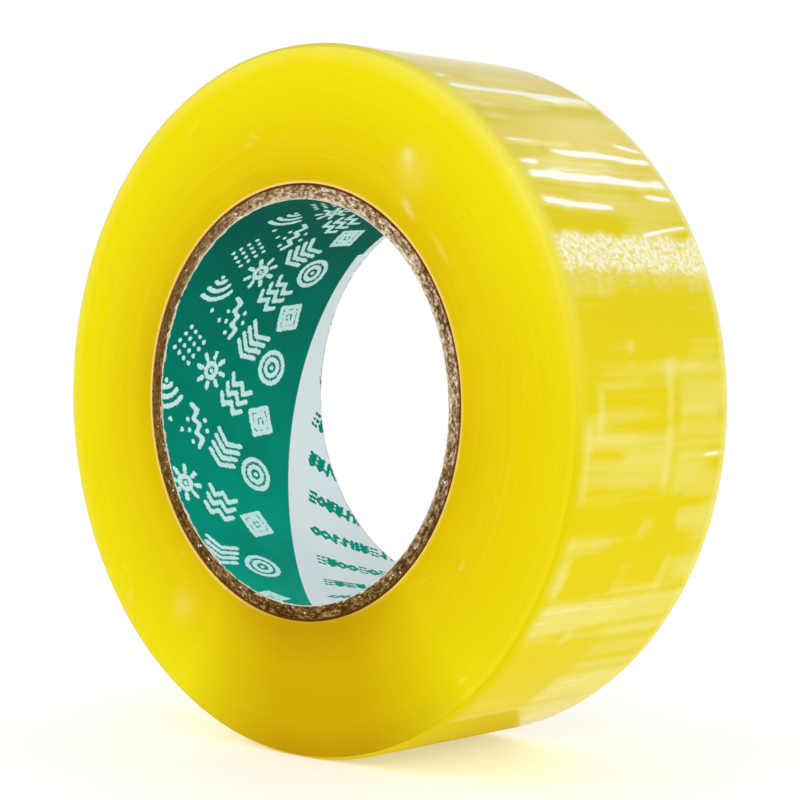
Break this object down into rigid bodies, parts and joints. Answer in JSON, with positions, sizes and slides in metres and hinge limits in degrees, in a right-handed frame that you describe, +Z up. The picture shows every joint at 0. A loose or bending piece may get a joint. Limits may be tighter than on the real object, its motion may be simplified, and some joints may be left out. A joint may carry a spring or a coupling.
{
  "type": "packing tape roll",
  "caption": "Roll of clear yellow packing tape wound on a spiral paperboard core with a printed paper lining, standing on its rim, its free end stuck down.",
  "frame": {"origin": "middle of the core's bore, at half the tape's width", "axes": "+Y along the roll's axis, away from the side the picture shows; +Z up from the flat on the rim that the roll stands on; the free end lies at +X, below the axis"},
  "size_m": [0.134, 0.045, 0.1337],
  "materials": {
    "printed_paper": "satin",
    "paperboard": "matte",
    "wound_tape": "satin",
    "clear_film": "gloss"
  },
  "bodies": {
    "roll": {"core_liner": "printed_paper", "core_ply_1": "paperboard", "core_ply_2": "paperboard", "core_ply_3": "paperboard", "core_ply_4": "paperboard", "tape_winding": "wound_tape", "tape_outer_turn": "clear_film"},
    "free_end_1": {"tape_free_end_1": "clear_film"},
    "free_end_2": {"tape_free_end_2": "clear_film"},
    "free_end_3": {"tape_free_end_3": "clear_film"},
    "free_end_4": {"tape_free_end_4": "clear_film"},
    "free_end_5": {"tape_free_end_5": "clear_film"},
    "free_end_6": {"tape_free_end_6": "clear_film"}
  },
  "joints": [
    {"name": "tape_peel", "type": "hinge", "parent": "roll", "child": "free_end_1", "pos_m": [0.0665, 0, -0.00817], "axis": [0, -1, 0], "range_deg": [0, 140]},
    {"name": "free_end_bend_2", "type": "hinge", "parent": "free_end_1", "child": "free_end_2", "pos_m": [0.06472, 0, -0.01734], "axis": [0, -1, 0], "range_deg": [0, 8]},
    {"name": "free_end_bend_3", "type": "hinge", "parent": "free_end_2", "child": "free_end_3", "pos_m": [0.06167, 0, -0.02618], "axis": [0, -1, 0], "range_deg": [0, 8]},
    {"name": "free_end_bend_4", "type": "hinge", "parent": "free_end_3", "child": "free_end_4", "pos_m": [0.05743, 0, -0.03451], "axis": [0, -1, 0], "range_deg": [0, 8]},
    {"name": "free_end_bend_5", "type": "hinge", "parent": "free_end_4", "child": "free_end_5", "pos_m": [0.05207, 0, -0.04216], "axis": [0, -1, 0], "range_deg": [0, 8]},
    {"name": "free_end_bend_6", "type": "hinge", "parent": "free_end_5", "child": "free_end_6", "pos_m": [0.04569, 0, -0.049], "axis": [0, -1, 0], "range_deg": [0, 8]}
  ],
  "couplings": [
    {"joint": "free_end_bend_2", "follows": "tape_peel", "ratio": 0.057},
    {"joint": "free_end_bend_3", "follows": "tape_peel", "ratio": 0.057},
    {"joint": "free_end_bend_4", "follows": "tape_peel", "ratio": 0.057},
    {"joint": "free_end_bend_5", "follows": "tape_peel", "ratio": 0.057},
    {"joint": "free_end_bend_6", "follows": "tape_peel", "ratio": 0.057}
  ]
}
